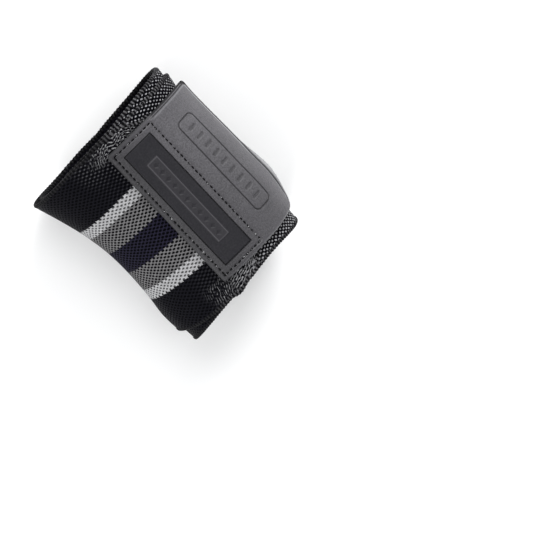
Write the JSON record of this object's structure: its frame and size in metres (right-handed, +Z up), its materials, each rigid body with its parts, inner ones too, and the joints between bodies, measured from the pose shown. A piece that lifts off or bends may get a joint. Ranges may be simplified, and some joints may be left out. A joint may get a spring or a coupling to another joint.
{
  "type": "wrist wrap",
  "caption": "Striped elastic wrist wrap wound into a waisted tube and closed over the top by a stitched leather patch with a dark inset panel.",
  "frame": {"origin": "under the middle of the whole wrap, on the surface that it lies on", "axes": "+X towards the thumb side of a left wrist, +Y along the forearm towards the hand, +Z up from the palm side to the patch"},
  "size_m": [0.077, 0.0876, 0.0552],
  "materials": {
    "knit": "knitted elastic, matt",
    "patch_leather": "fine grain, satin",
    "panel": "smooth, satin",
    "hook_tape": "hook tape, matt"
  },
  "bodies": {
    "root": {"elastic_band": "knit", "closure_patch": "patch_leather", "inset_panel": "panel", "hook_pad": "hook_tape"}
  },
  "joints": []
}
